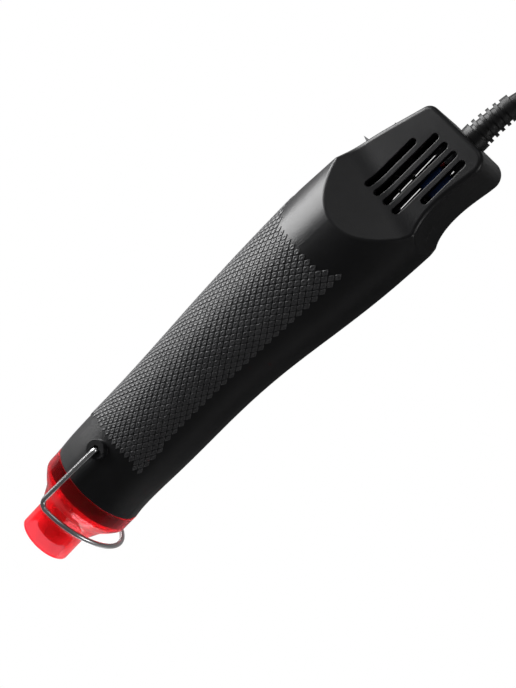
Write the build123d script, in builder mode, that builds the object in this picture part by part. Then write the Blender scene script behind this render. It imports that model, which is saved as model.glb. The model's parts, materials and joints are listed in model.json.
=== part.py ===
from build123d import *
import os
from math import cos, pi, radians, sin, tan

# Embossing heat tool, lying on its right side, in millimetres.
# X runs along the barrel towards the nozzle, and its zero is the nozzle's tip.
# Y points to the belly, and Z to the left half, which faces up.

# Body
nozzle_reach = 32.7
body_length = 190.2
front_radius = 19.6
rear_radius = 25.8
rear_side_radius = 23.1
belly_shift = 6.9
wall = 2.2
head_half_width = 12.0
top_corner_radius = 4.0
heel_corner_radius = 5.5
edge_round = 1.6
nose_round = 0.5
ramp_foot_to_tail = 32.7
ramp_slope = 30.5
ramp_round = 16.0
ramp_skew = 11.3
ramp_pivot_share = 0.27
overrun = 3.0

# Edges of the head that turn by more degrees than this are rounded
sharp_turn = 8.0

# Fits
seat_gap = 0.1
running_gap = 0.05
soft_gap = 0.3

# Each row: share of the body's length, then of the growth of the radius, of the side radius and of the shift
barrel_shares = (
    (0.0, 0.0, 0.0, 0.0),
    (0.158, 0.03, 0.06, 0.0),
    (0.316, 0.11, 0.17, 0.03),
    (0.464, 0.37, 0.49, 0.19),
    (0.580, 0.645, 0.80, 0.46),
    (0.696, 0.84, 0.985, 0.71),
    (0.818, 0.935, 1.0, 0.885),
    (1.0, 1.0, 1.0, 1.0),
)
# Side view of the head: share of the body's length, then of the rear radius
top_line_shares = (
    (0.622, -0.93),
    (0.691, -0.721),
    (0.770, -0.558),
    (0.860, -0.434),
    (0.949, -0.225),
    (1.0, -0.093),
)
belly_line_shares = (
    (0.786, 1.30),
    (0.802, 1.124),
    (0.823, 1.043),
    (0.870, 0.988),
    (0.928, 1.031),
    (0.970, 1.085),
    (1.0, 1.085),
)

# Vent slots
slot_width = 2.8
slot_pitch = 4.75
first_slot_y = 2.8
slot_lean = 1.8
# Each slot's front and rear end, ahead of the tail
slot_ends = ((35.7, 12.5), (35.7, 6.0), (35.7, 6.0), (35.7, 6.0), (26.4, 6.2))

# Wire stand and its bosses
wire_radius = 1.0
hinge_distance = 16.7
leg_half_span = 22.2
leg_reach = 31.2
loop_start_turn = 8.0
loop_lean = 0.1
corner_run = 4.3
corner_radius = 3.0
pin_bend_radius = 1.4
pin_depth = 8.0
boss_radius = 3.8
boss_face = 22.4
boss_sweep_face = 21.1
boss_depth = 3.4
pin_mouth = 0.5

# Nozzle shroud
tip_radius = 10.9
tip_length = 8.5
shroud_wall = 1.5
band_length = 6.8
spigot_length = 6.3
spigot_wall = 1.7
spigot_root = 3.0
shoulder_drop = 0.1
lip_round = 0.7
# Share of the flare's length, then of its growth in radius
flare_shares = (
    (0.0, 1.0),
    (0.096, 0.927),
    (0.236, 0.72),
    (0.348, 0.524),
    (0.489, 0.354),
    (0.685, 0.165),
    (1.0, 0.0),
)

# Heater
tube_radius = 6.9
tube_wall = 0.4
tube_inset = 3.8
tube_rear = 24.0
sleeve_wall = 0.4
sleeve_front = 12.0
sleeve_rear = 16.0
cross_width = 9.4
cross_thickness = 0.8
cross_front = 14.0
cross_rear = 30.0
element_wire_radius = 0.35
element_gap = 0.2
element_turns = 9
element_pitch = 3.0
element_front = 17.0
ring_thickness = 3.0
ring_holes = 8
ring_hole_radius = 2.4
ring_hole_circle = 12.2
ring_ledge = 2.0
cutout_length = 8.0
cutout_width = 4.6
cutout_height = 3.0

# Motor and fan
motor_front = 74.0
motor_radius = 12.2
motor_length = 27.0
motor_wall = 1.0
bearing_radius = 3.0
bearing_length = 1.5
shaft_radius = 1.0
armature_radius = 9.5
armature_length = 14.0
end_cap_thickness = 3.0
terminal_reach = 5.0
mount_thickness = 6.0
mount_rim = 1.8
mount_arm_width = 5.0
mount_arms = 3
mount_reach = 18.0
pad_depth = 1.0
pad_margin = 2.0
fan_radius = 15.4
fan_length = 9.0
fan_gap = 3.0
fan_hub_radius = 5.5
fan_blades = 7
blade_thickness = 1.2
blade_pitch_angle = 38.0

# Rocker switch
switch_to_tail = 21.7
switch_drop = 9.55
switch_lean = 16.7
bezel_length = 17.0
bezel_width = 11.6
bezel_thickness = 1.2
switch_length = 15.2
switch_width = 9.8
switch_depth = 12.0
switch_wall = 0.7
rocker_half_length = 6.2
rocker_half_width = 3.9
rocker_foot_share = 0.8
rocker_end_rise = 4.8
rocker_middle_rise = 0.9
rocker_depth = 3.6
rocker_tilt = 10.0
pivot_depth = 1.0
axle_radius = 1.0
blade_width = 4.8
blade_gauge = 0.8
blade_reach = 6.0
blade_spacing = 7.0

# Board in the head
board_to_tail = 31.7
board_length = 18.5
board_thickness = 1.6
board_y = 17.9
board_width = 10.0
board_height = 6.8
capacitor_length = 10.5
capacitor_to_tail = 13.3
capacitor_y = 16.6
capacitor_width = 8.0
capacitor_height = 9.0
capacitor_round = 1.2
diode_radius = 1.35
diode_length = 5.0
diode_gap = 0.7

# Cord, strain relief and clamp
cord_radius = 2.7
cord_y = 13.9
collar_radius = 5.4
collar_length = 3.2
rib_radius = 5.25
rib_width = 1.3
rib_pitch = 2.85
rib_taper = 0.17
ribs = 4
core_front_radius = 4.4
core_end_radius = 3.3
neck_radius = 4.0
inner_flange_radius = 5.6
inner_flange_length = 2.0
relief_length = 25.0
relief_bend = 16.0
relief_droop = 20.0
first_rib = 4.3
end_block_place = 15.4
end_block_length = 3.2
clamp_to_tail = 9.0
clamp_length = 5.0
clamp_thickness = 2.4
clamp_post_spread = 7.1
clamp_post_radius = 2.2
clamp_screw_radius = 0.8
clamp_head_radius = 1.7
clamp_head_height = 1.2
cord_inner_reach = 6.6
cradle_width = 6.0
clamp_screw_reach = 7.0

# Put-away coil and plug
coil_gap = 0.6
coil_mid_radius = 28.0
layers = 3
turns_a_layer = 2
turns_to_plug = 0.5
coil_distance = 289.0
coil_entry_y = 28.5
cord_runs = (18.0, 18.0)
plug_length = 24.0
plug_width = 24.0
plug_height = 15.0
plug_neck_length = 13.0
plug_neck_radius = 3.6
plug_neck_rear_radius = 5.4
plug_corner = 4.0
plug_round = 2.0
blade_leg_length = 17.0
blade_leg_width = 6.35
blade_leg_gauge = 1.5
blade_leg_spacing = 12.7
blade_leg_chamfer = 0.5
blade_leg_hole = 1.5
blade_leg_hole_place = 12.0

# Housing screws: each one's distance behind the body's front, and its Y
post_radius = 3.2
screw_places = ((42.0, 14.1), (42.0, -14.1), (128.0, 20.4), (128.0, -12.6))
screw_radius = 1.2
screw_reach = 9.0
screw_head_radius = 2.7
screw_head_height = 1.8
screw_seat_depth = 7.0

# Leads: stops behind the front, then stops ahead of the tail, each with its Y and Z
lead_radius = 0.7
lead_bend = 3.0
live_stops = ((11.9, 12.8, 0.9), (13.9, 11.1, 0.9), (22.0, 10.2, 0.9))
neutral_stops = ((11.9, 12.6, -1.0), (15.4, 11.3, -3.0), (21.2, 11.9, -6.0))
motor_stops = (
    (((106.4, 6.1, 0), (120.0, 6.1, 0)), ((40.2, 21.0, -6.0), (32.1, 21.0, -6.0))),
    (((106.4, -6.1, 0), (124.0, -6.1, 0)), ((40.2, 16.0, -6.0), (32.1, 16.0, -6.0))),
)
heater_stops = (
    (
        ((30.3, 2.6, 2.6), (36.0, 2.6, 5.0), (50.0, 3.0, 16.8), (112.0, 3.0, 16.8), (132.0, 6.0, 11.0)),
        ((40.2, 18.5, -6.0), (32.1, 18.5, -6.0)),
    ),
    (
        ((30.3, -2.6, 2.6), (36.0, -2.6, 5.0), (50.0, -3.0, 16.8), (112.0, -3.0, 16.8)),
        ((50.2, -1.0, 7.0), (32.4, 5.5, 1.5)),
    ),
)

inner_half_width = head_half_width - wall
nose_seat = spigot_root + ring_thickness + 2 * seat_gap

# Places in the head, which follow the tail
ramp_foot = body_length - ramp_foot_to_tail
switch_distance = body_length - switch_to_tail
board_front = body_length - board_to_tail
capacitor_rear = body_length - capacitor_to_tail
clamp_distance = body_length - clamp_to_tail
floor = -(leg_half_span + wire_radius)

os.makedirs("parts", exist_ok=True)


def behind(distance):
    """X of a place so far behind the joint of the shroud and the housing."""
    return -(nozzle_reach + distance)


def across(distance, y=0.0, z=0.0):
    """Plane square to the barrel, facing the nozzle, with Y and Z as its own axes."""
    return Plane(origin=(behind(distance), y, z), x_dir=(0, 1, 0), z_dir=(1, 0, 0))


def finish(part, name):
    """Label one finished piece and write it."""
    part.label = name
    export_step(part, f"parts/{name}.step")


def moved_in(shares, inset):
    """Points of a side line of the head, moved square to the line by the inset."""
    line = Spline(*[(behind(d * body_length), y * rear_radius) for d, y in shares], mode=Mode.PRIVATE)
    count = 2 * len(shares)
    points = []
    for step in range(count + 1):
        way = line.tangent_at(step / count)
        points.append(line.position_at(step / count) + Vector(way.Y, -way.X) * inset)
    return points


# Side view of the head: the top line with its switch, the square tail and the finger cove
def head_outline(inset):
    top = moved_in(top_line_shares, inset)
    belly = moved_in(belly_line_shares, -inset)
    with BuildPart() as outline:
        with BuildSketch(Plane.XY):
            with BuildLine():
                Spline(*top)
                Line(top[-1], belly[-1])
                Spline(*belly)
                Polyline(belly[0], (nozzle_reach, 2 * rear_radius), (nozzle_reach, -2 * rear_radius), top[0])
            make_face()
            with Locations((behind(body_length - inset) + body_length, 0)):
                Rectangle(2 * body_length, 4 * rear_radius, mode=Mode.INTERSECT)
        extrude(amount=2 * rear_radius, both=True)
        top_edge = outline.edges().filter_by(Axis.Z).group_by(Axis.X)[0].sort_by(Axis.Y)[0]
        fillet(top_edge, top_corner_radius - inset)
        heel_edge = outline.edges().filter_by(Axis.Z).group_by(Axis.X)[0].sort_by(Axis.Y)[-1]
        fillet(heel_edge, heel_corner_radius - inset)
    return outline.part


# What the two flat sides of the head and their ramps take away from the round barrel
def side_cutter(inset):
    skew = radians(ramp_skew)
    foot = (nozzle_reach + ramp_foot) * cos(skew) + ramp_pivot_share * rear_radius * sin(skew)
    high = 2 * rear_radius
    cut_plane = Plane(origin=(0, 0, 0), x_dir=(-cos(skew), sin(skew), 0), z_dir=(sin(skew), cos(skew), 0))
    with BuildPart() as cutter:
        with BuildSketch(cut_plane):
            with BuildLine():
                Polyline(
                    (foot, head_half_width),
                    (foot + body_length, head_half_width),
                    (foot + body_length, head_half_width + high),
                    (foot - high / tan(radians(ramp_slope)), head_half_width + high),
                    close=True,
                )
            make_face()
            if inset:
                offset(amount=inset, kind=Kind.INTERSECTION)
            fillet(vertices().group_by(Axis.Y)[0].sort_by(Axis.X)[0], ramp_round + inset)
        extrude(amount=2 * rear_radius, both=True)
        mirror(about=Plane.XY)
    return cutter.part


# The round barrel that grows and shifts towards the belly, with the head cut from it
def body_form(inset):
    with BuildPart() as form:
        for along, growth, side_growth, shift in barrel_shares:
            place = along * (body_length + overrun) - (overrun if inset and along == 0 else 0)
            with BuildSketch(across(place, y=shift * belly_shift)):
                Ellipse(
                    front_radius + growth * (rear_radius - front_radius) - inset,
                    front_radius + side_growth * (rear_side_radius - front_radius) - inset,
                )
        loft()
        add(head_outline(inset), mode=Mode.INTERSECT)
        add(side_cutter(inset), mode=Mode.SUBTRACT)
    return form.part


def is_sharp(part, edge):
    """True where the two faces that meet at an edge turn by more than a few degrees."""
    middle = edge.position_at(0.5)
    sides = [face for face in part.faces() if any(edge.is_same(other) for other in face.edges())]
    return len(sides) == 2 and sides[0].normal_at(middle).get_angle(sides[1].normal_at(middle)) > sharp_turn


# Top of the head: the plane of the rocker switch, facing out, with its X towards the tail
lean = radians(switch_lean)
switch_plane = Plane(
    origin=(behind(switch_distance), -switch_drop, 0),
    x_dir=(-cos(lean), sin(lean), 0),
    z_dir=(-sin(lean), -cos(lean), 0),
)

# Side view of the rocker: its axle's centre, with the end towards the nozzle raised
pressed = radians(switch_lean + rocker_tilt)
rocker_plane = Plane(
    origin=switch_plane.from_local_coords((0, 0, -pivot_depth)),
    x_dir=(-cos(pressed), sin(pressed), 0),
    z_dir=(0, 0, 1),
)

# Housing, made whole and then parted at the seam
spigot_radius = front_radius - shroud_wall - seat_gap
outer_form = body_form(0)
inner_form = body_form(wall)
with BuildPart() as shell:
    add(outer_form)
    head_edges = [
        edge
        for edge in shell.edges().filter_by(lambda e: e.center().X < behind(ramp_foot - 2 * ramp_round))
        if is_sharp(shell.part, edge)
    ]
    fillet(head_edges, edge_round)
    fillet(shell.faces().sort_by(Axis.X)[-1].edges(), nose_round)
    add(inner_form, mode=Mode.SUBTRACT)
    # Straight seat for the heater's ring, behind the spigot that carries the shroud
    with BuildSketch(across(nose_seat)):
        Circle(front_radius - wall)
    extrude(amount=nose_seat + overrun, mode=Mode.SUBTRACT)
    with BuildSketch(across(spigot_root)):
        Circle(front_radius - wall / 2)
        Circle(spigot_radius - spigot_wall, mode=Mode.SUBTRACT)
    extrude(amount=spigot_root)
    with BuildSketch(across(spigot_root)):
        Circle(spigot_radius)
        Circle(spigot_radius - spigot_wall, mode=Mode.SUBTRACT)
    extrude(amount=spigot_root + spigot_length)

with BuildPart() as posts:
    with BuildSketch(Plane.XY):
        with Locations([(behind(d), y) for d, y in screw_places]):
            Circle(post_radius)
    extrude(amount=2 * rear_radius, both=True)
    add(outer_form, mode=Mode.INTERSECT)

# Plane of the wire's loop, and the corner where a leg meets it
loop_plane = Plane(
    origin=(behind(hinge_distance) + leg_reach, 0, 0),
    x_dir=(-loop_lean, 1, 0),
    z_dir=(1, loop_lean, 0),
)
loop_radius = leg_half_span
start_turn = radians(loop_start_turn)
loop_start = (loop_radius * sin(start_turn), loop_radius * cos(start_turn))
loop_corner = (loop_start[0] - corner_run * cos(start_turn), loop_start[1] + corner_run * sin(start_turn))
leg_end = loop_plane.from_local_coords((loop_corner[0], loop_corner[1], 0))

# One boss on each side of the nose, low where the wire sweeps and high where it stops
sweep_plane = Plane(
    origin=(behind(hinge_distance), 0, boss_sweep_face),
    x_dir=(leg_end.X - behind(hinge_distance), leg_end.Y, 0),
    z_dir=(0, 0, 1),
)
boss_floor = front_radius - wall - boss_depth
with BuildPart() as boss:
    with BuildSketch(Plane.XY.offset(boss_floor)):
        with Locations((behind(hinge_distance), 0)):
            Circle(boss_radius)
    extrude(amount=boss_face - boss_floor)
    with BuildSketch(sweep_plane):
        with Locations((boss_radius - wire_radius - seat_gap, boss_radius - wire_radius - seat_gap)):
            Rectangle(2 * boss_radius, 2 * boss_radius)
    extrude(amount=boss_face, mode=Mode.SUBTRACT)

with BuildPart() as boss_bore:
    with BuildSketch(Plane.XY):
        with Locations((behind(hinge_distance), 0)):
            Circle(wire_radius + running_gap)
    extrude(amount=2 * rear_radius, both=True)
    for side in (1, -1):
        with BuildSketch(Plane.XY.offset(side * (boss_sweep_face - pin_mouth))):
            with Locations((behind(hinge_distance), 0)):
                Circle(wire_radius + running_gap + pin_mouth)
        extrude(amount=side * wall)

# Pads that hold the arms of the motor's mount, and the ledge behind the heater's ring
with BuildPart() as inner_seats:
    with BuildSketch(across(motor_front + mount_thickness + pad_margin)):
        with PolarLocations(rear_radius, mount_arms):
            Rectangle(2 * (rear_radius - mount_reach + pad_depth), mount_arm_width + 2 * pad_margin)
    extrude(amount=mount_thickness + 2 * pad_margin)
    with BuildSketch(across(motor_front + mount_thickness + seat_gap)):
        with PolarLocations(rear_radius, mount_arms):
            Rectangle(2 * (rear_radius - mount_reach + pad_depth), mount_arm_width + 2 * seat_gap)
        Circle(mount_reach + seat_gap, mode=Mode.INTERSECT)
    extrude(amount=mount_thickness + 2 * seat_gap, mode=Mode.SUBTRACT)
    with BuildSketch(across(nose_seat + ring_ledge)):
        Circle(2 * rear_radius)
        Circle(front_radius - wall - ring_ledge, mode=Mode.SUBTRACT)
    extrude(amount=ring_ledge)
    add(outer_form, mode=Mode.INTERSECT)
    add(head_outline(wall), mode=Mode.INTERSECT)

with BuildPart() as housing:
    add(shell.part)
    add(posts.part)
    add(boss.part)
    add(boss.part.mirror(Plane.XY))
    add(boss_bore.part, mode=Mode.SUBTRACT)
    add(inner_seats.part)
    # Vent slots through both sides
    with BuildSketch(Plane.XY):
        for number, (front, rear) in enumerate(slot_ends):
            with Locations((behind(body_length - (front + rear) / 2), first_slot_y + number * slot_pitch)):
                SlotOverall(front - rear, slot_width, rotation=-slot_lean)
    extrude(amount=2 * rear_radius, both=True, mode=Mode.SUBTRACT)
    # Window and shallow seat for the switch
    with BuildSketch(switch_plane.offset(-2 * wall)):
        Rectangle(switch_length + 2 * seat_gap, switch_width + 2 * seat_gap)
    extrude(amount=4 * wall, mode=Mode.SUBTRACT)
    with BuildSketch(switch_plane):
        Rectangle(bezel_length + 2 * seat_gap, bezel_width + 2 * seat_gap)
    extrude(amount=2 * wall, mode=Mode.SUBTRACT)
    # Hole for the strain relief's neck
    with BuildSketch(across(body_length + overrun, y=cord_y)):
        Circle(neck_radius + seat_gap)
    extrude(amount=2 * overrun + wall, mode=Mode.SUBTRACT)
    # Cord clamp posts and the cradle between them, which stand on the lower wall
    with BuildSketch(Plane.XY.offset(-inner_half_width)):
        with Locations(
            (behind(clamp_distance), cord_y - clamp_post_spread),
            (behind(clamp_distance), cord_y + clamp_post_spread),
        ):
            Circle(clamp_post_radius)
    extrude(amount=inner_half_width - soft_gap)
    with BuildSketch(Plane.XY.offset(-inner_half_width)):
        with Locations((behind(clamp_distance), cord_y)):
            Rectangle(clamp_length, cradle_width)
    extrude(amount=inner_half_width - cord_radius - seat_gap)
    # Ledges that carry the board
    with BuildSketch(Plane.XY.offset(-inner_half_width)):
        for end in (board_front + wall, board_front + board_length - wall):
            with Locations((behind(end), board_y)):
                Rectangle(wall, board_width)
    extrude(amount=inner_half_width - board_height)

with BuildPart() as housing_left:
    add(housing.part)
    split(bisect_by=Plane.XY, keep=Keep.TOP)
    with BuildSketch(Plane.XY):
        with Locations([(behind(d), y) for d, y in screw_places]):
            Circle(screw_radius + seat_gap / 2)
    extrude(amount=screw_reach + seat_gap, mode=Mode.SUBTRACT)
finish(housing_left.part, "housing_left")

with BuildPart() as housing_right:
    add(housing.part)
    split(bisect_by=Plane.XY, keep=Keep.BOTTOM)
    with BuildSketch(Plane.XY):
        with Locations([(behind(d), y) for d, y in screw_places]):
            Circle(screw_radius + 2 * seat_gap)
    extrude(amount=-2 * rear_radius, mode=Mode.SUBTRACT)
    with BuildSketch(Plane.XY.offset(-screw_seat_depth)):
        with Locations([(behind(d), y) for d, y in screw_places]):
            Circle(screw_head_radius + seat_gap)
    extrude(amount=-2 * rear_radius, mode=Mode.SUBTRACT)
    # Pilot holes for the clamp screws
    with BuildSketch(Plane.XY.offset(-soft_gap)):
        with Locations(
            (behind(clamp_distance), cord_y - clamp_post_spread),
            (behind(clamp_distance), cord_y + clamp_post_spread),
        ):
            Circle(clamp_screw_radius + seat_gap / 2)
    extrude(amount=-inner_half_width / 2, mode=Mode.SUBTRACT)
finish(housing_right.part, "housing_right")

# Screws that draw the halves together, entered from the right half
with BuildPart() as housing_screws:
    with BuildSketch(Plane.XY.offset(-screw_seat_depth)):
        with Locations([(behind(d), y) for d, y in screw_places]):
            Circle(screw_radius)
    extrude(amount=screw_seat_depth + screw_reach)
    with BuildSketch(Plane.XY.offset(-screw_seat_depth)):
        with Locations([(behind(d), y) for d, y in screw_places]):
            Circle(screw_head_radius)
    extrude(amount=-screw_head_height)
    with BuildSketch(Plane.XY.offset(-screw_seat_depth - screw_head_height)):
        with Locations([(behind(d), y) for d, y in screw_places]):
            Rectangle(screw_head_radius, screw_radius / 2)
            Rectangle(screw_radius / 2, screw_head_radius)
    extrude(amount=screw_head_height / 2, mode=Mode.SUBTRACT)
finish(housing_screws.part, "housing_screws")


# Translucent shroud: a band as wide as the barrel, a flare and a slim tip
flare_front = tip_length
flare_rear = nozzle_reach - band_length
tip_bore = tip_radius - shroud_wall
band_bore = spigot_radius + seat_gap


def flare_points(small, large):
    """Outline of the flare between two radii, from the band to the tip."""
    length = flare_rear - flare_front
    return [(-(flare_rear - along * length), small + growth * (large - small)) for along, growth in flare_shares]


with BuildPart() as nozzle_shroud:
    with BuildSketch(Plane.XY):
        outer_points = flare_points(tip_radius, front_radius - shoulder_drop)
        inner_points = flare_points(tip_bore, band_bore)
        with BuildLine():
            Polyline(inner_points[0], (behind(0), band_bore), (behind(0), front_radius), outer_points[0])
            Spline(*outer_points, tangents=((1, 0), (1, 0)))
            Polyline(outer_points[-1], (0, tip_radius), (0, tip_bore), inner_points[-1])
            Spline(*inner_points, tangents=((1, 0), (1, 0)))
        make_face()
    revolve(axis=Axis.X)
    tip_edges = nozzle_shroud.edges().filter_by(GeomType.CIRCLE).group_by(Axis.X)[-1]
    fillet(tip_edges.sort_by(SortBy.RADIUS)[0], lip_round)
finish(nozzle_shroud.part, "nozzle_shroud")

# Steel tube that lines the shroud, and the ring that carries it in the barrel
ring_front = spigot_root + seat_gap
with BuildPart() as outlet_tube:
    with BuildSketch(across(tube_rear)):
        Circle(tube_radius)
        Circle(tube_radius - tube_wall, mode=Mode.SUBTRACT)
    extrude(amount=nozzle_reach + tube_rear - tube_inset)
finish(outlet_tube.part, "outlet_tube")

with BuildPart() as heater_ring:
    with BuildSketch(across(ring_front + ring_thickness)):
        Circle(front_radius - wall - seat_gap)
        Circle(tube_radius + running_gap, mode=Mode.SUBTRACT)
        with PolarLocations(ring_hole_circle, ring_holes):
            Circle(ring_hole_radius, mode=Mode.SUBTRACT)
    extrude(amount=ring_thickness)
finish(heater_ring.part, "heater_ring")

sleeve_radius = tube_radius - tube_wall - seat_gap
with BuildPart() as mica_sleeve:
    with BuildSketch(across(sleeve_rear)):
        Circle(sleeve_radius)
        Circle(sleeve_radius - sleeve_wall, mode=Mode.SUBTRACT)
    extrude(amount=nozzle_reach + sleeve_rear - sleeve_front)
finish(mica_sleeve.part, "mica_sleeve")

# Two crossed mica plates, whose rear end widens to sit in the tube
cross_wide = 2 * (tube_radius - tube_wall - seat_gap)
with BuildPart() as mica_cross:
    with BuildSketch(across(cross_rear)):
        Rectangle(cross_width, cross_thickness)
        Rectangle(cross_thickness, cross_width)
    extrude(amount=nozzle_reach + cross_rear - cross_front)
    with BuildSketch(across(tube_rear)):
        Rectangle(cross_wide, cross_thickness)
        Rectangle(cross_thickness, cross_wide)
    extrude(amount=tube_rear - sleeve_rear - soft_gap)
finish(mica_cross.part, "mica_cross")


def biarc(start, start_direction, end, end_direction):
    """Two tangent arcs from one point to another, leaving and arriving along the given directions."""
    first, last = Vector(*start), Vector(*end)
    leave, arrive = Vector(*start_direction).normalized(), Vector(*end_direction).normalized()
    chord = last - first
    both = leave + arrive
    spread = 2 * (1 - leave.dot(arrive))
    along = chord.dot(both)
    if spread < 1e-9:
        reach = chord.dot(chord) / (2 * along)
    else:
        reach = (-along + (along * along + spread * chord.dot(chord)) ** 0.5) / spread
    middle = (first + leave * reach + last - arrive * reach) * 0.5
    middle_direction = ((last - arrive * reach) - (first + leave * reach)).normalized()
    TangentArc(first, middle, tangent=leave)
    TangentArc(middle, last, tangent=middle_direction)


def least_gap(wire, radius, apart):
    """Least gap of a tube to itself, on points spaced by half its radius, more than so far apart along it."""
    count = int(wire.length / radius * 2)
    points = [wire.position_at(step / count) for step in range(count + 1)]
    skip = int(apart / wire.length * count)
    return min(
        (points[a] - points[b]).length - 2 * radius
        for a in range(0, count + 1, 2)
        for b in range(a + skip, count + 1, 2)
    )


# Heating wire, wound round the cross
element_radius = cross_width / 2 + element_gap + element_wire_radius
element_start = element_front + element_turns * element_pitch


def element_point(quarter):
    """Place and direction of the heating wire after so many quarter turns, counted from the rear."""
    turn = quarter * pi / 2 + pi / 4
    place = (-element_start + quarter * element_pitch / 4, element_radius * cos(turn), element_radius * sin(turn))
    return place, (element_pitch / (2 * pi * element_radius), -sin(turn), cos(turn))


with BuildPart() as heating_coil:
    with BuildLine() as element_line:
        first_place, first_way = element_point(0)
        first_end = Vector(*first_place) - Vector(*first_way).normalized() * 2 * element_wire_radius
        Line(first_end, first_place)
        for quarter in range(4 * element_turns):
            biarc(*element_point(quarter), *element_point(quarter + 1))
        last_place, last_way = element_point(4 * element_turns)
        last_end = Vector(*last_place) + Vector(*last_way).normalized() * 2 * element_wire_radius
        Line(last_place, last_end)
    with BuildSketch(Plane(origin=first_end, z_dir=first_way)):
        Circle(element_wire_radius)
    sweep()
element_gap_found = least_gap(element_line.wire(), element_wire_radius, element_radius)
print("heating wire least gap", round(element_gap_found, 2), "length", round(element_line.wire().length))
finish(heating_coil.part, "heating_coil")

# Thermal cut-out, lying against the cross
with BuildPart() as thermal_cutout:
    with BuildSketch(across(tube_rear + cross_thickness, y=cross_thickness / 2, z=cross_thickness / 2)):
        with Locations((cutout_height / 2, cutout_width / 2)):
            RectangleRounded(cutout_height, cutout_width, cutout_height / 4)
    extrude(amount=-(cross_rear - tube_rear - cross_thickness))
finish(thermal_cutout.part, "thermal_cutout")

# Motor: a steel can, a rear cap with two terminals, the shaft and the armature
with BuildPart() as motor_can:
    with BuildSketch(across(motor_front + motor_length)):
        Circle(motor_radius)
    extrude(amount=motor_length)
    fillet(motor_can.edges().group_by(Axis.X)[-1], motor_wall)
    with BuildSketch(across(motor_front)):
        Circle(bearing_radius)
    extrude(amount=bearing_length)
    with BuildSketch(across(motor_front + motor_length)):
        Circle(motor_radius - motor_wall)
    extrude(amount=motor_length - motor_wall, mode=Mode.SUBTRACT)
    with BuildSketch(across(motor_front + motor_wall)):
        Circle(shaft_radius + running_gap)
    extrude(amount=motor_wall + bearing_length, mode=Mode.SUBTRACT)
finish(motor_can.part, "motor_can")

with BuildPart() as motor_end_cap:
    with BuildSketch(across(motor_front + motor_length)):
        Circle(motor_radius - motor_wall - seat_gap)
    extrude(amount=end_cap_thickness)
    with BuildSketch(across(motor_front + motor_length)):
        Circle(bearing_radius)
    extrude(amount=-bearing_length)
    with BuildSketch(across(motor_front + motor_length)):
        with Locations((motor_radius / 2, 0), (-motor_radius / 2, 0)):
            Rectangle(blade_gauge, bearing_radius)
    extrude(amount=-terminal_reach)
    with BuildSketch(across(motor_front + motor_length)):
        Circle(shaft_radius + running_gap)
    extrude(amount=end_cap_thickness, mode=Mode.SUBTRACT)
finish(motor_end_cap.part, "motor_end_cap")

fan_front = motor_front - bearing_length - fan_gap - fan_length
with BuildPart() as motor_shaft:
    with BuildSketch(across(motor_front + motor_length)):
        Circle(shaft_radius)
    extrude(amount=motor_front + motor_length - fan_front - shaft_radius)
finish(motor_shaft.part, "motor_shaft")

armature_front = motor_front + (motor_length - armature_length) / 2
with BuildPart() as motor_armature:
    with BuildSketch(across(armature_front + armature_length)):
        Circle(armature_radius)
        Circle(shaft_radius, mode=Mode.SUBTRACT)
        with PolarLocations(armature_radius, 3):
            Rectangle(armature_radius / 2, shaft_radius * 2, mode=Mode.SUBTRACT)
    extrude(amount=armature_length)
finish(motor_armature.part, "motor_armature")

with BuildPart() as fan_impeller:
    with BuildSketch(across(fan_front + fan_length)):
        Circle(fan_hub_radius)
    extrude(amount=fan_length)
    fillet(fan_impeller.edges().group_by(Axis.X)[-1], shaft_radius)
    blade_chord = fan_length / cos(radians(blade_pitch_angle)) - blade_thickness
    for number in range(fan_blades):
        turn = 2 * pi * number / fan_blades
        outwards = (0, cos(turn), sin(turn))
        blade_plane = Plane(origin=(behind(fan_front + fan_length / 2), 0, 0), x_dir=(1, 0, 0), z_dir=outwards)
        with BuildSketch(blade_plane.offset(fan_hub_radius / 2)):
            Rectangle(blade_chord, blade_thickness, rotation=blade_pitch_angle)
        extrude(amount=fan_radius - fan_hub_radius / 2)
    with BuildSketch(across(fan_front + fan_length)):
        Circle(fan_radius)
    extrude(amount=fan_length, mode=Mode.INTERSECT)
    with BuildSketch(across(fan_front + fan_length)):
        Circle(shaft_radius)
    extrude(amount=fan_length - shaft_radius, mode=Mode.SUBTRACT)
finish(fan_impeller.part, "fan_impeller")

# Spider that holds the motor in the barrel
with BuildPart() as motor_mount:
    with BuildSketch(across(motor_front + mount_thickness)):
        Circle(motor_radius + seat_gap + mount_rim)
        with PolarLocations((motor_radius + mount_reach) / 2, mount_arms):
            Rectangle(mount_reach - motor_radius, mount_arm_width)
        Circle(motor_radius + seat_gap, mode=Mode.SUBTRACT)
        Circle(mount_reach, mode=Mode.INTERSECT)
    extrude(amount=mount_thickness)
finish(motor_mount.part, "motor_mount")

# Rocker switch: its body with a bezel and two blades, then the rocker on its axle
with BuildPart() as switch_body:
    with BuildSketch(switch_plane):
        RectangleRounded(bezel_length, bezel_width, bezel_thickness)
    extrude(amount=bezel_thickness)
    with BuildSketch(switch_plane):
        Rectangle(switch_length, switch_width)
    extrude(amount=-switch_depth)
    with BuildSketch(switch_plane.offset(bezel_thickness)):
        Rectangle(switch_length - 2 * switch_wall, switch_width - 2 * switch_wall)
    extrude(amount=-(bezel_thickness + switch_depth / 2), mode=Mode.SUBTRACT)
    with BuildSketch(switch_plane.offset(-switch_depth)):
        with Locations((blade_spacing / 2, 0), (-blade_spacing / 2, 0)):
            Rectangle(blade_gauge, blade_width)
    extrude(amount=-blade_reach)
    with BuildSketch(rocker_plane):
        Circle(axle_radius + running_gap)
    extrude(amount=switch_width, both=True, mode=Mode.SUBTRACT)
finish(switch_body.part, "switch_body")

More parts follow.
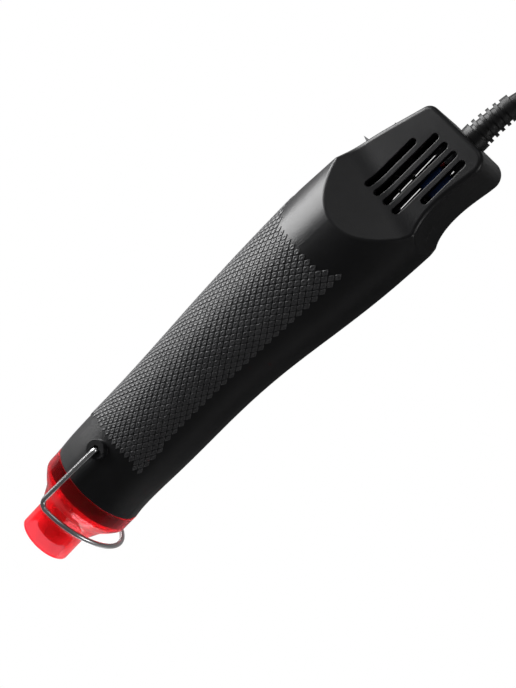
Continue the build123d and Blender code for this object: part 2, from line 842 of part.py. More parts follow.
with BuildPart() as switch_rocker:
    with BuildSketch(rocker_plane):
        with BuildLine():
            Polyline(
                (-rocker_half_length, rocker_end_rise + pivot_depth),
                (-rocker_half_length * rocker_foot_share, pivot_depth - rocker_depth),
                (rocker_half_length * rocker_foot_share, pivot_depth - rocker_depth),
                (rocker_half_length, rocker_end_rise + pivot_depth),
            )
            ThreePointArc(
                (rocker_half_length, rocker_end_rise + pivot_depth),
                (0, rocker_middle_rise + pivot_depth),
                (-rocker_half_length, rocker_end_rise + pivot_depth),
            )
        make_face()
    extrude(amount=rocker_half_width, both=True)
    with BuildSketch(rocker_plane):
        Circle(axle_radius)
    extrude(amount=switch_width / 2 - seat_gap, both=True)
finish(switch_rocker.part, "switch_rocker")

# Board in the head with its rectifier and capacitor
board_top = board_thickness - board_height
with BuildPart() as circuit_board:
    with BuildSketch(Plane.XY.offset(-board_height)):
        with Locations((behind(board_front + board_length / 2), board_y)):
            Rectangle(board_length, board_width)
    extrude(amount=board_thickness)
finish(circuit_board.part, "circuit_board")

with BuildPart() as capacitor:
    with BuildSketch(Plane.XY.offset(board_top)):
        with Locations((behind(capacitor_rear - capacitor_length / 2), capacitor_y)):
            RectangleRounded(capacitor_length, capacitor_width, capacitor_round)
    extrude(amount=capacitor_height)
    fillet(capacitor.edges().group_by(Axis.Z)[-1], capacitor_round)
finish(capacitor.part, "capacitor")

with BuildPart() as rectifier_diodes:
    for number in range(4):
        place = board_front + wall / 2 + diode_radius + number % 2 * (2 * diode_radius + diode_gap)
        side = board_y - board_width / 4 + number // 2 * board_width / 2
        diode_plane = Plane(
            origin=(behind(place), side - diode_length / 2 + diode_gap, board_top + diode_radius),
            x_dir=(1, 0, 0),
            z_dir=(0, 1, 0),
        )
        with BuildSketch(diode_plane):
            Circle(diode_radius)
        extrude(amount=diode_length - 2 * diode_gap)
finish(rectifier_diodes.part, "rectifier_diodes")

# Strain relief: a collar on the tail, a ribbed taper that bends with the cord, and a flange inside the wall
droop = radians(relief_droop)
collar_end = body_length + collar_length
relief_plane = Plane(
    origin=(behind(body_length), cord_y, 0),
    x_dir=(-1, 0, 0),
    z_dir=(0, -sin(droop), -cos(droop)),
)
relief_radius = relief_length / radians(relief_bend)


def relief_place(reach):
    """Plane square to the strain relief's middle line, so far from the tail."""
    turn = reach / relief_radius
    middle = relief_plane.from_local_coords((relief_radius * sin(turn), relief_radius * (1 - cos(turn)), 0))
    ahead = (relief_radius * sin(turn) + cos(turn), relief_radius * (1 - cos(turn)) + sin(turn), 0)
    tip = relief_plane.from_local_coords(ahead)
    return Plane(origin=middle, z_dir=tip - middle)


with BuildPart() as strain_relief:
    for share in (0.0, 0.25, 0.5, 0.75, 1.0):
        with BuildSketch(relief_place(share * relief_length)):
            Circle(core_front_radius + share * (core_end_radius - core_front_radius))
    loft()
    for number in range(ribs):
        with BuildSketch(relief_place(first_rib + number * rib_pitch)):
            Circle(rib_radius - number * rib_taper)
        extrude(amount=rib_width)
    with BuildSketch(relief_place(end_block_place)):
        Circle(rib_radius - ribs * rib_taper)
    extrude(amount=end_block_length)
    with BuildSketch(across(collar_end, y=cord_y)):
        Circle(collar_radius)
    extrude(amount=collar_length)
    with BuildSketch(across(collar_end, y=cord_y)):
        Circle(neck_radius)
    extrude(amount=collar_length + wall + seat_gap + inner_flange_length)
    flange_rear = body_length - wall - seat_gap
    with BuildSketch(across(flange_rear, y=cord_y)):
        Circle(inner_flange_radius)
    extrude(amount=inner_flange_length)
finish(strain_relief.part, "strain_relief")

# Cord inside the head, and the clamp that holds it
with BuildPart() as cord_inner_end:
    with BuildSketch(across(flange_rear - inner_flange_length, y=cord_y)):
        Circle(cord_radius)
    extrude(amount=cord_inner_reach)
finish(cord_inner_end.part, "cord_inner_end")

clamp_half_width = clamp_post_spread + clamp_post_radius
with BuildPart() as cord_clamp:
    with BuildSketch(across(clamp_distance + clamp_length / 2, y=cord_y, z=-soft_gap)):
        with Locations((0, clamp_thickness / 2)):
            Rectangle(2 * clamp_half_width, clamp_thickness)
        with Locations((0, soft_gap)):
            Circle(cord_radius + clamp_thickness)
        with Locations((0, -clamp_half_width)):
            Rectangle(2 * clamp_half_width, 2 * clamp_half_width, mode=Mode.SUBTRACT)
        with Locations((0, soft_gap)):
            Circle(cord_radius + running_gap, mode=Mode.SUBTRACT)
    extrude(amount=clamp_length)
    with BuildSketch(Plane.XY):
        with Locations(
            (behind(clamp_distance), cord_y - clamp_post_spread),
            (behind(clamp_distance), cord_y + clamp_post_spread),
        ):
            Circle(clamp_screw_radius + seat_gap)
    extrude(amount=inner_half_width, both=True, mode=Mode.SUBTRACT)
finish(cord_clamp.part, "cord_clamp")

clamp_top = clamp_thickness - soft_gap
with BuildPart() as clamp_screws:
    with BuildSketch(Plane.XY.offset(clamp_top)):
        with Locations(
            (behind(clamp_distance), cord_y - clamp_post_spread),
            (behind(clamp_distance), cord_y + clamp_post_spread),
        ):
            Circle(clamp_head_radius)
    extrude(amount=clamp_head_height)
    with BuildSketch(Plane.XY.offset(clamp_top)):
        with Locations(
            (behind(clamp_distance), cord_y - clamp_post_spread),
            (behind(clamp_distance), cord_y + clamp_post_spread),
        ):
            Circle(clamp_screw_radius)
    extrude(amount=-clamp_screw_reach)
    with BuildSketch(Plane.XY.offset(clamp_top + clamp_head_height)):
        with Locations(
            (behind(clamp_distance), cord_y - clamp_post_spread),
            (behind(clamp_distance), cord_y + clamp_post_spread),
        ):
            Rectangle(2 * clamp_head_radius, clamp_head_radius / 3)
    extrude(amount=-clamp_head_height / 2, mode=Mode.SUBTRACT)
finish(clamp_screws.part, "clamp_screws")

# Put-away cord: spirals in on the floor, climbs in half a turn, spirals out, climbs and spirals in again,
# and then rises to the plug, which lies on the coil
coil_pitch = 2 * cord_radius + coil_gap
lower_layer = floor + cord_radius
coil_outer = coil_mid_radius + turns_a_layer * coil_pitch / 2
coil_inner = coil_mid_radius - turns_a_layer * coil_pitch / 2
coil_y = coil_entry_y - coil_outer
turns_to_next = turns_a_layer + 0.5
coil_turns = layers * turns_to_next - 0.5 + turns_to_plug
plug_rise = cord_radius + soft_gap + plug_height / 2
straight_end = 2 * cord_radius


def coil_place(turns):
    """Place on the coil's middle line after so many turns."""
    layer = min(layers - 1, max(0, int(turns // turns_to_next)))
    after = turns - layer * turns_to_next
    going_in = layer % 2 == 0
    height = lower_layer + layer * coil_pitch
    climb = 2 * pi * (after - turns_a_layer)
    if after < turns_a_layer:
        radius = coil_outer - after * coil_pitch if going_in else coil_inner + after * coil_pitch
    elif layer < layers - 1:
        bulge = coil_pitch / (2 * pi) * sin(climb)
        radius = coil_inner - bulge if going_in else coil_outer + bulge
        height += coil_pitch * (1 - cos(climb)) / 2
    else:
        radius = coil_inner - coil_pitch / (2 * pi) * sin(climb)
        height += plug_rise * (1 - cos(climb)) / 2
    angle = pi / 2 + 2 * pi * turns
    return Vector(behind(coil_distance) + radius * cos(angle), coil_y + radius * sin(angle), height)


def coil_way(turns):
    """Direction of the coil's middle line after so many turns."""
    step = coil_gap / (2 * pi * coil_outer) / 100
    return (coil_place(turns + step) - coil_place(turns - step)).normalized()


with BuildPart() as cord_coil:
    with BuildLine() as coil_line:
        coil_start = coil_place(0) - coil_way(0) * straight_end
        coil_end = coil_place(coil_turns) + coil_way(coil_turns) * straight_end
        Line(coil_start, coil_place(0))
        for quarter in range(round(4 * coil_turns)):
            ends = (quarter / 4, (quarter + 1) / 4)
            biarc(coil_place(ends[0]), coil_way(ends[0]), coil_place(ends[1]), coil_way(ends[1]))
        Line(coil_place(coil_turns), coil_end)
    with BuildSketch(Plane(origin=coil_start, z_dir=coil_way(0))):
        Circle(cord_radius)
    sweep()
finish(cord_coil.part, "cord_coil")


def bend_radii(route):
    """Radius at each inner point of a route, from its shorter run and its turn."""
    radii = []
    for before, corner, after in zip(route, route[1:], route[2:]):
        arriving, leaving = corner - before, after - corner
        half_turn = radians(arriving.get_angle(leaving)) / 2
        radii.append(0.45 * min(arriving.length, leaving.length) / tan(half_turn))
    return radii


def tube(route, radius, radii):
    """Round tube along straight runs that meet in tangent arcs."""
    with BuildPart() as made:
        with BuildLine() as line:
            FilletPolyline(*route, radius=radii)
        with BuildSketch(Plane(origin=route[0], z_dir=route[1] - route[0])):
            Circle(radius)
        sweep()
    ratio = made.part.volume / (pi * radius**2 * line.wire().length)
    return made.part, line.wire().length, ratio


# Free cord from the strain relief to the coil
relief_end = relief_place(relief_length)
cord_route = [
    relief_end.origin,
    relief_end.origin + relief_end.z_dir * cord_runs[0],
    coil_start - coil_way(0) * cord_runs[1],
    coil_start,
]
cord_radii = bend_radii(cord_route)
cord, cord_length, cord_ratio = tube(cord_route, cord_radius, cord_radii)
finish(cord, "cord")

print("cord radii", [round(r, 1) for r in cord_radii], "volume share", round(cord_ratio, 4))
print("coil least gap", round(least_gap(coil_line.wire(), cord_radius, 2 * coil_inner), 2))
print("cord length", round(cord_length + coil_line.wire().length))
print("cord route", [tuple(round(v, 2) for v in point) for point in cord_route])
print("coil end", tuple(round(v, 2) for v in coil_end), tuple(round(v, 4) for v in coil_way(coil_turns)))

# Plug with a tapered neck and two flat blades
plug_start = Plane(origin=coil_end, x_dir=(0, 0, 1), z_dir=(*tuple(coil_way(coil_turns))[:2], 0))
with BuildPart() as plug_body:
    with BuildSketch(plug_start):
        Circle(plug_neck_radius)
    with BuildSketch(plug_start.offset(plug_neck_length)):
        Circle(plug_neck_rear_radius)
    loft()
    with BuildSketch(plug_start.offset(plug_neck_length)):
        RectangleRounded(plug_height, plug_width, plug_corner)
    extrude(amount=plug_length)
    fillet(plug_body.faces().filter_by(GeomType.PLANE).sort_by(SortBy.AREA)[-1].edges(), plug_round / 4)
finish(plug_body.part, "plug_body")

plug_face = plug_start.offset(plug_neck_length + plug_length)
with BuildPart() as plug_blades:
    with BuildSketch(plug_face):
        with Locations((0, blade_leg_spacing / 2), (0, -blade_leg_spacing / 2)):
            Rectangle(blade_leg_width, blade_leg_gauge)
    extrude(amount=blade_leg_length)
    chamfer(plug_blades.edges().group_by(Axis.X)[-1].filter_by(Axis.Z), blade_leg_chamfer)
    hole_place = plug_face.offset(blade_leg_hole_place).origin
    with BuildSketch(Plane(origin=hole_place, x_dir=(1, 0, 0), z_dir=plug_face.y_dir)):
        Circle(blade_leg_hole)
    extrude(amount=plug_width, both=True, mode=Mode.SUBTRACT)
finish(plug_blades.part, "plug_blades")

# Wire stand: two pins, two legs and a half loop round the belly side of the shroud
with BuildPart() as wire_stand:
    with BuildLine():
        for side in (1, -1):
            FilletPolyline(
                (behind(hinge_distance), 0, side * (leg_half_span - pin_depth)),
                (behind(hinge_distance), 0, side * leg_half_span),
                loop_plane.from_local_coords((loop_corner[0], side * loop_corner[1], 0)),
                loop_plane.from_local_coords((loop_start[0], side * loop_start[1], 0)),
                radius=[pin_bend_radius, corner_radius],
            )
        ThreePointArc(
            loop_plane.from_local_coords((loop_start[0], loop_start[1], 0)),
            loop_plane.from_local_coords((loop_radius, 0, 0)),
            loop_plane.from_local_coords((loop_start[0], -loop_start[1], 0)),
        )
    with BuildSketch(Plane.XY.offset(leg_half_span - pin_depth)):
        with Locations((behind(hinge_distance), 0)):
            Circle(wire_radius)
    sweep()
finish(wire_stand.part, "wire_stand")


# Leads inside the housing
def lead(front_stops, tail_stops):
    """One lead through stops behind the front, then through stops ahead of the tail."""
    route = [Vector(behind(d), y, z) for d, y, z in front_stops]
    route += [Vector(behind(body_length - d), y, z) for d, y, z in tail_stops]
    return tube(route, lead_radius, [lead_bend] * (len(route) - 2))[0]


live_lead = lead((), live_stops)
finish(live_lead, "live_lead")

neutral_lead = lead((), neutral_stops)
finish(neutral_lead, "neutral_lead")

motor_leads = Compound(children=[lead(front, tail) for front, tail in motor_stops])
finish(motor_leads, "motor_leads")

heater_leads = Compound(children=[lead(front, tail) for front, tail in heater_stops])
finish(heater_leads, "heater_leads")
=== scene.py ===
import bpy
import json
from math import cos, pi, radians, sin
from mathutils import Matrix, Vector
from mathutils.bvhtree import BVHTree


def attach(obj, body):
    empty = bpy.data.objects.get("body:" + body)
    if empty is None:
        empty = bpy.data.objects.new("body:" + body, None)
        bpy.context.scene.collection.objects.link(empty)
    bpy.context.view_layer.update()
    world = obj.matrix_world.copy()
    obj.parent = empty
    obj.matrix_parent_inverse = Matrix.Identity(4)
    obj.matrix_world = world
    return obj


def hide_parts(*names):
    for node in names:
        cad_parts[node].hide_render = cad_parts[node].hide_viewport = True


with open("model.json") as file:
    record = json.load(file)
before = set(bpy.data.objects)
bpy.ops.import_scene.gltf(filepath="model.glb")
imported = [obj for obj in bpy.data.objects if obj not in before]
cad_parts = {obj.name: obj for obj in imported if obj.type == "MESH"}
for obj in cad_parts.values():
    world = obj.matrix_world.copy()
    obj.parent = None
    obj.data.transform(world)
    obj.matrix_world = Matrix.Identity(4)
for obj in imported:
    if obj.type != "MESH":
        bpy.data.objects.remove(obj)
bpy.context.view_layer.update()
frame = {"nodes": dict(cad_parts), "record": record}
bpy.ops.object.select_all(action="DESELECT")
nodes = frame["nodes"]
scene = bpy.context.scene

# Camera: where the photograph was taken from, looking down on the tool's left side
# with the nozzle at the lower left and the cord at the upper right.
camera_data = bpy.data.cameras.new("camera")
camera_data.sensor_fit = "VERTICAL"
camera_data.sensor_height = 36
camera_data.lens = 68.0
camera_data.clip_start = 0.01
camera = bpy.data.objects.new("camera", camera_data)
scene.collection.objects.link(camera)
right = Vector((-0.6704, 0.5925, -0.4467))
upwards = Vector((-0.7015, -0.7022, 0.1212))
towards = Vector((0.2419, -0.3946, -0.8864))
turned = Matrix((right, upwards, -towards)).transposed().to_4x4()
camera.matrix_world = Matrix.Translation((-0.23285, 0.19745, 0.42492)) @ turned
scene.camera = camera

# Cord: from the strain relief down to the floor and into the put-away coil, which climbs in
# three layers of two turns with half a turn between them, and up to the plug that lies on it.
cord_radius = 0.0027
coil_pitch = 0.006
coil_centre = Vector((-0.3217, -0.0055, 0))
coil_inner, coil_outer = 0.022, 0.034
floor_line = -0.0205
plug_rise = 0.0105
points_a_turn = 16
turns_a_layer = 2
points_a_layer = 40
cord_points = [
    Vector((-0.24758, 0.01716, -0.00119)),
    Vector((-0.26488, 0.02182, -0.00288)),
    Vector((-0.29831, 0.02916, floor_line)),
]
for step in range(3 * points_a_layer + 1):
    layer = min(2, step // points_a_layer)
    turns = (step - layer * points_a_layer) / points_a_turn
    climb = 2 * pi * (turns - turns_a_layer)
    height = floor_line + layer * coil_pitch
    # The middle layer winds outwards and the other two inwards, and each ends with a climb
    # of half a turn.
    if turns < turns_a_layer and layer == 1:
        radius = coil_inner + turns * coil_pitch
    elif turns < turns_a_layer:
        radius = coil_outer - turns * coil_pitch
    elif layer == 1:
        radius = coil_outer + coil_pitch / (2 * pi) * sin(climb)
        height += coil_pitch * (1 - cos(climb)) / 2
    else:
        rise = coil_pitch if layer == 0 else plug_rise
        radius = coil_inner - coil_pitch / (2 * pi) * sin(climb)
        height += rise * (1 - cos(climb)) / 2
    angle = pi / 2 + 2 * pi * step / points_a_turn
    around = Vector((radius * cos(angle), radius * sin(angle), height))
    cord_points.append(coil_centre + around)
cord_points.append(Vector((-0.31631, -0.02773, 0.002)))
cord_curve = bpy.data.curves.new("cord_line", "CURVE")
cord_curve.dimensions = "3D"
cord_curve.bevel_depth = 1.0
cord_curve.bevel_resolution = 6
cord_curve.resolution_u = 6
cord_curve.use_fill_caps = True
cord_spline = cord_curve.splines.new("NURBS")
cord_spline.points.add(len(cord_points) - 1)
for point, place in zip(cord_spline.points, cord_points):
    point.co = (place.x, place.y, place.z, 1)
    point.radius = cord_radius
cord_spline.order_u = 3
cord_spline.use_endpoint_u = True
cord = bpy.data.objects.new("cord_line", cord_curve)
scene.collection.objects.link(cord)
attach(cord, "housing")
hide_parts("cord", "cord_coil")

# Surface effects that several materials share: a fine moulded grain with a rounded edge,
# and the slow change of gloss that handling leaves on plastic and metal.
grain = bpy.data.node_groups.new("moulded_grain", "ShaderNodeTree")
for name, value in (("Scale", 2500.0), ("Strength", 0.2), ("Edge", 0.0003)):
    socket = grain.interface.new_socket(name, in_out="INPUT", socket_type="NodeSocketFloat")
    socket.default_value = value
grain.interface.new_socket("Normal", in_out="OUTPUT", socket_type="NodeSocketVector")
g_in = grain.nodes.new("NodeGroupInput")
g_out = grain.nodes.new("NodeGroupOutput")
g_place = grain.nodes.new("ShaderNodeTexCoord")
g_noise = grain.nodes.new("ShaderNodeTexNoise")
g_noise.inputs["Detail"].default_value = 2.0
g_bevel = grain.nodes.new("ShaderNodeBevel")
g_bevel.samples = 4
g_bump = grain.nodes.new("ShaderNodeBump")
g_bump.inputs["Distance"].default_value = 0.0002
grain.links.new(g_place.outputs["Object"], g_noise.inputs["Vector"])
grain.links.new(g_in.outputs["Scale"], g_noise.inputs["Scale"])
grain.links.new(g_in.outputs["Edge"], g_bevel.inputs["Radius"])
grain.links.new(g_in.outputs["Strength"], g_bump.inputs["Strength"])
grain.links.new(g_noise.outputs["Fac"], g_bump.inputs["Height"])
grain.links.new(g_bevel.outputs["Normal"], g_bump.inputs["Normal"])
grain.links.new(g_bump.outputs["Normal"], g_out.inputs["Normal"])

wear = bpy.data.node_groups.new("handled_gloss", "ShaderNodeTree")
for name, value in (("Low", 0.4), ("High", 0.5), ("Scale", 60.0)):
    socket = wear.interface.new_socket(name, in_out="INPUT", socket_type="NodeSocketFloat")
    socket.default_value = value
wear.interface.new_socket("Roughness", in_out="OUTPUT", socket_type="NodeSocketFloat")
w_in = wear.nodes.new("NodeGroupInput")
w_out = wear.nodes.new("NodeGroupOutput")
w_place = wear.nodes.new("ShaderNodeTexCoord")
w_noise = wear.nodes.new("ShaderNodeTexNoise")
w_noise.inputs["Detail"].default_value = 5.0
w_range = wear.nodes.new("ShaderNodeMapRange")
w_range.inputs["From Min"].default_value = 0.3
w_range.inputs["From Max"].default_value = 0.7
wear.links.new(w_place.outputs["Object"], w_noise.inputs["Vector"])
wear.links.new(w_in.outputs["Scale"], w_noise.inputs["Scale"])
wear.links.new(w_noise.outputs["Fac"], w_range.inputs["Value"])
wear.links.new(w_in.outputs["Low"], w_range.inputs["To Min"])
wear.links.new(w_in.outputs["High"], w_range.inputs["To Max"])
wear.links.new(w_range.outputs["Result"], w_out.inputs["Roughness"])

# Materials, one row each: colour, metallic, least and most roughness, grain size in marks a metre,
# grain strength, and the radius in metres to which edges look rounded.
looks = {
    "black_plastic": ((0.010, 0.010, 0.011), 0.0, 0.31, 0.37, 2600.0, 0.20, 0.00035),
    "steel_tube": ((0.60, 0.57, 0.55), 1.0, 0.22, 0.40, 900.0, 0.10, 0.0001),
    "mica": ((0.62, 0.56, 0.44), 0.0, 0.45, 0.65, 700.0, 0.35, 0.0001),
    "heating_wire": ((0.40, 0.36, 0.33), 1.0, 0.35, 0.50, 1500.0, 0.10, 0.00005),
    "cutout_steel": ((0.70, 0.70, 0.70), 1.0, 0.25, 0.35, 1200.0, 0.08, 0.0002),
    "motor_steel": ((0.62, 0.62, 0.64), 1.0, 0.20, 0.34, 1200.0, 0.06, 0.0002),
    "white_plastic": ((0.80, 0.79, 0.75), 0.0, 0.40, 0.50, 1500.0, 0.12, 0.0002),
    "copper": ((0.72, 0.36, 0.20), 1.0, 0.22, 0.38, 2200.0, 0.30, 0.0001),
    "fan_plastic": ((0.10, 0.10, 0.11), 0.0, 0.38, 0.48, 1500.0, 0.12, 0.0002),
    "switch_black": ((0.015, 0.015, 0.016), 0.0, 0.22, 0.30, 1500.0, 0.05, 0.0002),
    "rocker_grey": ((0.20, 0.20, 0.21), 0.0, 0.34, 0.42, 1800.0, 0.10, 0.0004),
    "board_green": ((0.05, 0.22, 0.10), 0.0, 0.25, 0.35, 900.0, 0.10, 0.0001),
    "capacitor_blue": ((0.006, 0.035, 0.15), 0.0, 0.15, 0.25, 500.0, 0.06, 0.0002),
    "diode_black": ((0.03, 0.03, 0.03), 0.0, 0.35, 0.50, 1500.0, 0.12, 0.0001),
    "cord_rubber": ((0.009, 0.009, 0.0095), 0.0, 0.34, 0.46, 1800.0, 0.18, 0.0003),
    "screw_steel": ((0.45, 0.45, 0.46), 1.0, 0.25, 0.40, 1500.0, 0.12, 0.0001),
    "plug_brass": ((0.78, 0.68, 0.46), 1.0, 0.18, 0.32, 1200.0, 0.06, 0.0001),
    "stand_wire": ((0.86, 0.86, 0.87), 1.0, 0.20, 0.30, 800.0, 0.05, 0.0001),
    "lead_red": ((0.55, 0.03, 0.03), 0.0, 0.35, 0.45, 1500.0, 0.10, 0.00005),
    "lead_black": ((0.02, 0.02, 0.02), 0.0, 0.35, 0.45, 1500.0, 0.10, 0.00005),
}
materials = {}
for slot, (colour, metallic, low, high, size, strength, edge) in looks.items():
    material = bpy.data.materials.new(slot)
    material.use_nodes = True
    tree = material.node_tree
    shader = tree.nodes["Principled BSDF"]
    shader.inputs["Metallic"].default_value = metallic
    m_grain = tree.nodes.new("ShaderNodeGroup")
    m_grain.node_tree = grain
    m_grain.inputs["Scale"].default_value = size
    m_grain.inputs["Strength"].default_value = strength
    m_grain.inputs["Edge"].default_value = edge
    m_wear = tree.nodes.new("ShaderNodeGroup")
    m_wear.node_tree = wear
    m_wear.inputs["Low"].default_value = low
    m_wear.inputs["High"].default_value = high
    tree.links.new(m_grain.outputs["Normal"], shader.inputs["Normal"])
    tree.links.new(m_wear.outputs["Roughness"], shader.inputs["Roughness"])
    # Slight cloudiness of the colour
    place = tree.nodes.new("ShaderNodeTexCoord")
    cloud = tree.nodes.new("ShaderNodeTexNoise")
    cloud.inputs["Scale"].default_value = 180.0
    cloud.inputs["Detail"].default_value = 3.0
    tint = tree.nodes.new("ShaderNodeValToRGB")
    tint.color_ramp.elements[0].position = 0.3
    tint.color_ramp.elements[1].position = 0.7
    tint.color_ramp.elements[0].color = (*[c * 0.88 for c in colour], 1)
    tint.color_ramp.elements[1].color = (*[min(1, c * 1.12) for c in colour], 1)
    tree.links.new(place.outputs["Object"], cloud.inputs["Vector"])
    tree.links.new(cloud.outputs["Fac"], tint.inputs["Fac"])
    tree.links.new(tint.outputs["Color"], shader.inputs["Base Color"])
    materials[slot] = material

# Shroud: clear red plastic, whose gloss is broken by faint flow marks, with a little scatter
# that keeps it bright where several walls lie behind each other.
red = bpy.data.materials.new("red_plastic")
red.use_nodes = True
tree = red.node_tree
shader = tree.nodes["Principled BSDF"]
shader.inputs["Base Color"].default_value = (1.0, 0.16, 0.20, 1)
shader.inputs["Transmission Weight"].default_value = 1.0
shader.inputs["IOR"].default_value = 1.49
scatter = tree.nodes.new("ShaderNodeBsdfTranslucent")
scatter.inputs["Color"].default_value = (1.0, 0.045, 0.065, 1)
mixed = tree.nodes.new("ShaderNodeMixShader")
mixed.inputs["Fac"].default_value = 0.35
place = tree.nodes.new("ShaderNodeTexCoord")
flow = tree.nodes.new("ShaderNodeTexNoise")
flow.inputs["Scale"].default_value = 120.0
flow.inputs["Distortion"].default_value = 0.6
flow_bump = tree.nodes.new("ShaderNodeBump")
flow_bump.inputs["Strength"].default_value = 0.08
flow_bump.inputs["Distance"].default_value = 0.0004
m_wear = tree.nodes.new("ShaderNodeGroup")
m_wear.node_tree = wear
m_wear.inputs["Low"].default_value = 0.04
m_wear.inputs["High"].default_value = 0.10
tree.links.new(place.outputs["Object"], flow.inputs["Vector"])
tree.links.new(flow.outputs["Fac"], flow_bump.inputs["Height"])
tree.links.new(flow_bump.outputs["Normal"], shader.inputs["Normal"])
tree.links.new(m_wear.outputs["Roughness"], shader.inputs["Roughness"])
tree.links.new(shader.outputs["BSDF"], mixed.inputs[1])
tree.links.new(scatter.outputs["BSDF"], mixed.inputs[2])
tree.links.new(mixed.outputs["Shader"], tree.nodes["Material Output"].inputs["Surface"])
materials["red_plastic"] = red

# Every carried-over piece takes the material of its slot, and the cord's line takes the
# rubber of the strain relief.
for row in frame["record"]["subparts"]:
    piece = nodes[row["node"]]
    piece.data.materials.clear()
    piece.data.materials.append(materials[row["material_slot"]])
cord.data.materials.append(materials["cord_rubber"])

# Grip: raised diamonds with a dimple in the middle, in rows offset by half a pitch, laid
# on the barrel's left half and mirrored, and kept off the seams, the nose and the head.
housing_tree = BVHTree.FromObject(nodes["housing_left"], bpy.context.evaluated_depsgraph_get())
barrel_front = -0.0327
row_pitch = 0.0019
column_turn = 6.6
diamond_length = 0.93 * row_pitch
diamond_turn = 0.90 * column_turn / 2
grip_front, grip_rear = 0.0236, 0.1224
top_edge_turn = -80
axis_drop = 0.00414
drop_start, drop_length = 0.05, 0.13
clear_of_barrel = 0.04
# Each ring of a diamond: its share of the diamond's size, and its height over the barrel.
rings = ((1.0, -0.0002), (0.92, 0.0001), (0.74, 0.00028), (0.52, 0.00028), (0.3, 0.00012))
dimple = (0.0, 0.00008)
side_middle = 0.53
corners = (
    (1.0, 0.0),
    (side_middle, side_middle),
    (0.0, 1.0),
    (-side_middle, side_middle),
    (-1.0, 0.0),
    (-side_middle, -side_middle),
    (0.0, -1.0),
    (side_middle, -side_middle),
)
sides = len(corners)
# The grip takes a lighter copy of the black plastic. This is painted light: the lighter colour
# stands in for the highlights the diamonds catch and lifts their shaded side.
grip_painted_light = materials["black_plastic"].copy()
grip_painted_light.name = "grip_painted_light"
for node in grip_painted_light.node_tree.nodes:
    if node.type == "VALTORGB":
        node.color_ramp.elements[0].color = (0.062, 0.062, 0.065, 1)
        node.color_ramp.elements[1].color = (0.085, 0.085, 0.088, 1)
grip_points, grip_faces = [], []
for row in range(-4, 60):
    distance = grip_front + row * row_pitch
    for column in range(-14, 10):
        turn = (column + 0.5 * (row % 2)) * column_turn
        # The lower edge draws in over 3 cm behind the nose, and both ends curve.
        belly_edge_turn = max(50.0, 55.0 - (distance - 0.02) / 0.03 * 5.0) - 3
        front_limit = grip_front - 0.0050 * (turn / 66) ** 2
        rear_limit = grip_rear + 0.0076 * (turn / 60) ** 2
        if not top_edge_turn <= turn <= belly_edge_turn:
            continue
        if not front_limit <= distance <= rear_limit:
            continue
        first = len(grip_points)
        for share, height in (*rings, dimple):
            for along, around in corners if share else ((0, 0),):
                x = barrel_front - distance + along * share * diamond_length
                angle = radians(turn + around * share * diamond_turn)
                drop_share = max(0.0, min(1.0, (distance - drop_start) / drop_length))
                outwards = Vector((0, sin(angle), cos(angle)))
                start = Vector((x, axis_drop * drop_share, 0)) + outwards * clear_of_barrel
                hit, _, _, _ = housing_tree.ray_cast(start, -outwards)
                grip_points.append(hit + outwards * height)
        for ring in range(len(rings) - 1):
            for side in range(sides):
                a = first + ring * sides + side
                b = first + ring * sides + (side + 1) % sides
                grip_faces.append((a, b, b + sides, a + sides))
        centre = first + len(rings) * sides
        inner = centre - sides
        for side in range(sides):
            grip_faces.append((inner + side, inner + (side + 1) % sides, centre))
for name, flip in (("grip_left", 1), ("grip_right", -1)):
    mesh = bpy.data.meshes.new(name)
    mesh.from_pydata([(p.x, p.y, p.z * flip) for p in grip_points], [], grip_faces)
    mesh.materials.append(grip_painted_light)
    grip = bpy.data.objects.new(name, mesh)
    scene.collection.objects.link(grip)
    bpy.context.view_layer.objects.active = grip
    grip.select_set(True)
    bpy.ops.object.mode_set(mode="EDIT")
    bpy.ops.mesh.select_all(action="SELECT")
    bpy.ops.mesh.normals_make_consistent(inside=False)
    bpy.ops.object.mode_set(mode="OBJECT")
    bpy.ops.object.shade_smooth()
    grip.select_set(False)
    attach(grip, "housing")

# Vent screen: nine thin dark bars behind the slots of the right half, joined by two cross strips.
# They are painted shade: a dark sheet that darkens the slots where the inside of the housing lies
# in shade, and that leaves fine lines of light.
screen_height = -0.00955
screen_thickness = 0.0004
bar_length, bar_width, bar_pitch = 0.0285, 0.0021, 0.0024
bars = [(-0.1990, 0.0020 + number * bar_pitch, bar_length, bar_width) for number in range(9)]
bars += [(-0.1835, 0.0116, 0.0015, 0.0216), (-0.1987, 0.0116, 0.0012, 0.0216)]
for number, (x, y, length, width) in enumerate(bars):
    bpy.ops.mesh.primitive_cube_add(size=1, location=(x, y, screen_height))
    bar = bpy.context.object
    bar.name = f"vent_shade_bar_{number}"
    bar.scale = (length, width, screen_thickness)
    bpy.ops.object.transform_apply(location=True, rotation=True, scale=True)
    round_edges = bar.modifiers.new("round_edges", "BEVEL")
    round_edges.width = 0.00012
    round_edges.segments = 2
    bpy.ops.object.modifier_apply(modifier="round_edges")
    bar.data.materials.append(materials["fan_plastic"])
    bar.select_set(False)
    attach(bar, "housing")

# Stage: a floor that shows white but throws little light back, under the tool, and a soft
# studio, with the key light over the switch side so that the belly stays dark.
bpy.ops.mesh.primitive_plane_add(size=4, location=(0, 0, -0.0232))
floor = bpy.context.object
floor.name = "floor"
floor.select_set(False)
paper = bpy.data.materials.new("paper")
paper.use_nodes = True
tree = paper.node_tree
shader = tree.nodes["Principled BSDF"]
shader.inputs["Base Color"].default_value = (0.30, 0.30, 0.30, 1)
shader.inputs["Roughness"].default_value = 0.9
white = tree.nodes.new("ShaderNodeEmission")
white.inputs["Strength"].default_value = 1.0
seen = tree.nodes.new("ShaderNodeLightPath")
either = tree.nodes.new("ShaderNodeMath")
either.operation = "MAXIMUM"
mixed = tree.nodes.new("ShaderNodeMixShader")
tree.links.new(seen.outputs["Is Camera Ray"], either.inputs[0])
tree.links.new(seen.outputs["Is Transmission Ray"], either.inputs[1])
tree.links.new(either.outputs["Value"], mixed.inputs["Fac"])
tree.links.new(shader.outputs["BSDF"], mixed.inputs[1])
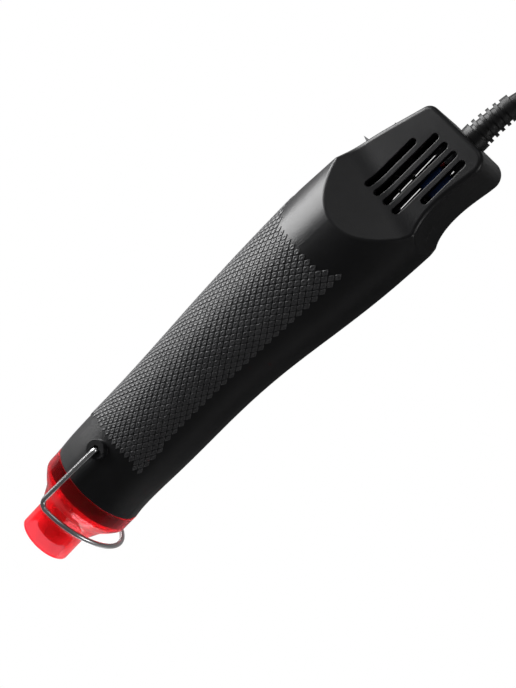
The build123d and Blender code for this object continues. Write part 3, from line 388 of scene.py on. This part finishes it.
tree.links.new(white.outputs["Emission"], mixed.inputs[2])
tree.links.new(mixed.outputs["Shader"], tree.nodes["Material Output"].inputs["Surface"])
floor.data.materials.append(paper)

world = bpy.data.worlds.new("studio")
scene.world = world
world.use_nodes = True
tree = world.node_tree
background = tree.nodes["Background"]
background.inputs["Color"].default_value = (1, 1, 1, 1)
seen = tree.nodes.new("ShaderNodeLightPath")
strength = tree.nodes.new("ShaderNodeMapRange")
strength.inputs["To Min"].default_value = 0.07
strength.inputs["To Max"].default_value = 1.0
tree.links.new(seen.outputs["Is Camera Ray"], strength.inputs["Value"])
tree.links.new(strength.outputs["Result"], background.inputs["Strength"])

# Each light: its name, place, the point it faces, its two sides and its watts.
for name, place, aim, width, height, watts in (
    ("key", (-0.12, -0.82, 0.30), (-0.09, 0, 0), 0.60, 0.9, 16.0),
    ("top", (-0.80, -0.05, 0.50), (-0.18, 0, 0), 0.35, 0.35, 0.3),
    ("belly", (-0.45, 0.75, 0.05), (-0.14, 0, 0), 0.3, 0.4, 1.2),
):
    light_data = bpy.data.lights.new(name, "AREA")
    light_data.shape = "RECTANGLE"
    light_data.size = width
    light_data.size_y = height
    light_data.energy = watts
    light = bpy.data.objects.new(name, light_data)
    scene.collection.objects.link(light)
    light.location = place
    light.rotation_euler = (Vector(aim) - Vector(place)).to_track_quat("-Z", "Y").to_euler()
scene.view_settings.view_transform = "Standard"

# Nozzle lamp: a small disk ahead of the nozzle, which lights the shroud through as the
# white paper round it does.
glow_data = bpy.data.lights.new("under_nozzle", "AREA")
glow_data.shape = "DISK"
glow_data.size = 0.05
glow_data.energy = 0.14
glow = bpy.data.objects.new("under_nozzle", glow_data)
scene.collection.objects.link(glow)
glow_place = Vector((0.05, 0.03, 0.0))
glow_aim = Vector((-0.02, 0, 0))
glow.location = glow_place
glow.rotation_euler = (glow_aim - glow_place).to_track_quat("-Z", "Y").to_euler()
glow.visible_camera = False
glow.visible_glossy = False

# Bring the scene up to date.
bpy.context.view_layer.update()
